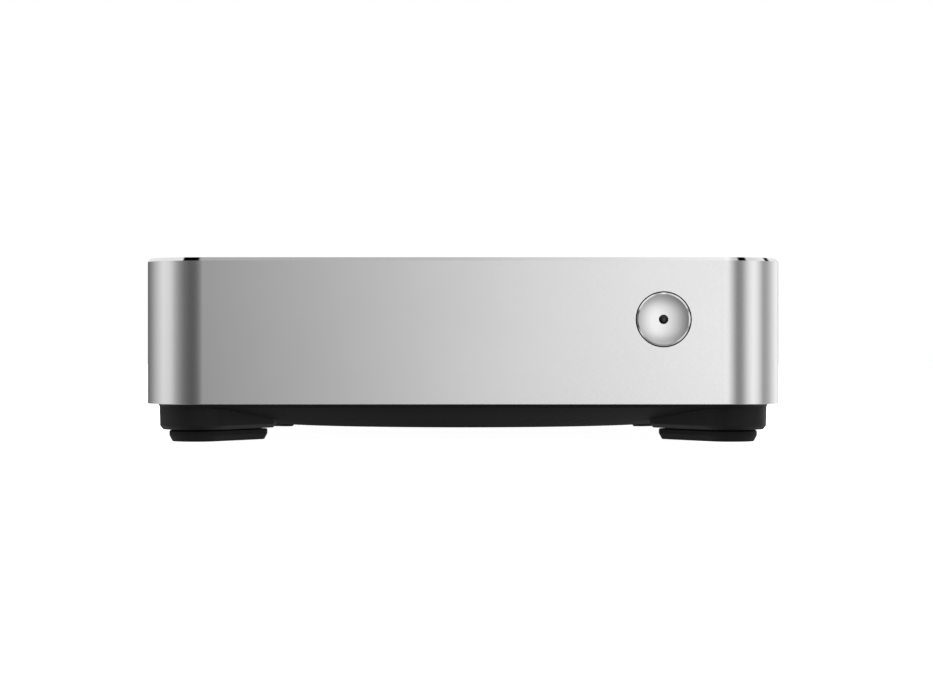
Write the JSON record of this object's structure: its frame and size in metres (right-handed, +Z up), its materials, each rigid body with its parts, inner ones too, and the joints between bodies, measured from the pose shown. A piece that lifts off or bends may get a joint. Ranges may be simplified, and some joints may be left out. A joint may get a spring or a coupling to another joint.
{
  "type": "compact desktop computer",
  "caption": "Low square desktop computer: an aluminium cover with rounded corners and a dished power button, lifted off a black base that stands on teardrop corner feet.",
  "frame": {"origin": "on the ground under the middle of the case", "axes": "+Z up; the front with the power button faces -Y; +X is to the right seen from the front"},
  "size_m": [0.19, 0.19, 0.0547],
  "materials": {
    "anodised_aluminium": "fine bead-blasted, clear anodised",
    "black_plastic": "fine moulded texture",
    "rubber": "matt moulded",
    "smoked_lens": "polished, smoked",
    "spring_steel": "drawn wire and rolled strip",
    "sheet_steel": "zinc-plated sheet",
    "black_screw_steel": "black zinc plating",
    "circuit_board": "solder mask over glass-fibre board",
    "chip_package": "moulded resin",
    "copper": "bare copper, drawn and machined",
    "bare_aluminium": "bare stamped and cast",
    "plated_shell": "nickel-plated sheet",
    "cable_jacket": "soft extruded jacket",
    "nickel_plate": "nickel-plated steel"
  },
  "bodies": {
    "chassis": {"base_tray": "black_plastic", "intake_grille": "black_plastic", "foot_pad_front_left": "rubber", "foot_pad_front_right": "rubber", "foot_pad_rear_right": "rubber", "foot_pad_rear_left": "rubber", "rear_panel": "black_plastic", "panel_screw_right": "black_screw_steel", "panel_screw_left": "black_screw_steel", "dc_jack": "black_plastic", "video_port": "plated_shell", "network_port": "plated_shell", "data_ports_right": "plated_shell", "data_ports_left": "plated_shell", "audio_jacks": "black_plastic", "switch_body": "black_plastic", "status_led": "smoked_lens", "switch_board": "circuit_board", "switch_bracket": "black_plastic", "bracket_screw": "black_screw_steel", "mainboard": "circuit_board", "board_screw_1": "black_screw_steel", "board_screw_2": "black_screw_steel", "board_screw_3": "black_screw_steel", "board_screw_4": "black_screw_steel", "processor": "chip_package", "cold_plate": "copper", "cooler_screw_1": "black_screw_steel", "cooler_screw_2": "black_screw_steel", "heat_pipe": "copper", "fin_stack": "bare_aluminium", "blower_housing": "black_plastic", "blower_cover": "sheet_steel", "fan_motor": "chip_package", "memory_socket": "black_plastic", "memory_module": "circuit_board", "drive_body": "bare_aluminium", "drive_lid": "sheet_steel", "drive_bracket": "sheet_steel", "drive_screw_1": "black_screw_steel", "drive_screw_2": "black_screw_steel", "drive_cable": "cable_jacket", "switch_cable": "cable_jacket", "wireless_card": "circuit_board", "antenna": "circuit_board", "antenna_cable": "cable_jacket", "coin_cell_holder": "black_plastic", "coin_cell": "nickel_plate", "shell_clip_right": "spring_steel", "shell_clip_left": "spring_steel"},
    "shell": {"shell": "anodised_aluminium", "button_guide": "black_plastic", "button_spring": "spring_steel"},
    "button": {"power_button": "anodised_aluminium", "light_pipe": "smoked_lens"},
    "plunger": {"switch_plunger": "black_plastic"},
    "rotor": {"fan_impeller": "black_plastic", "fan_shaft": "spring_steel"},
    "left_latch": {"memory_latch_left": "spring_steel"},
    "right_latch": {"memory_latch_right": "spring_steel"}
  },
  "joints": [
    {"name": "shell_lift", "type": "slide", "parent": "chassis", "child": "shell", "axis": [0, 0, 1], "range_m": [0, 0.06]},
    {"name": "button_press", "type": "slide", "parent": "shell", "child": "button", "axis": [0, 1, 0], "range_m": [0, 0.0006], "stiffness_N_per_m": 2500, "springref_m": -0.0003, "deforming": ["button_spring"]},
    {"name": "plunger_press", "type": "slide", "parent": "chassis", "child": "plunger", "axis": [0, 1, 0], "range_m": [0, 0.0006]},
    {"name": "fan_spin", "type": "hinge", "parent": "chassis", "child": "rotor", "pos_m": [-0.048, 0.032, 0.0252], "axis": [0, 0, 1], "continuous": true},
    {"name": "left_latch_swing", "type": "hinge", "parent": "chassis", "child": "left_latch", "pos_m": [0.0076, -0.0326, 0.0194], "axis": [0, 0, 1], "range_deg": [-8, 0], "stiffness_Nm_per_rad": 0.02},
    {"name": "right_latch_swing", "type": "hinge", "parent": "chassis", "child": "right_latch", "pos_m": [0.0764, -0.0326, 0.0194], "axis": [0, 0, 1], "range_deg": [0, 8], "stiffness_Nm_per_rad": 0.02}
  ],
  "couplings": [
    {"joint": "plunger_press", "follows": "button_press", "ratio": 1}
  ]
}
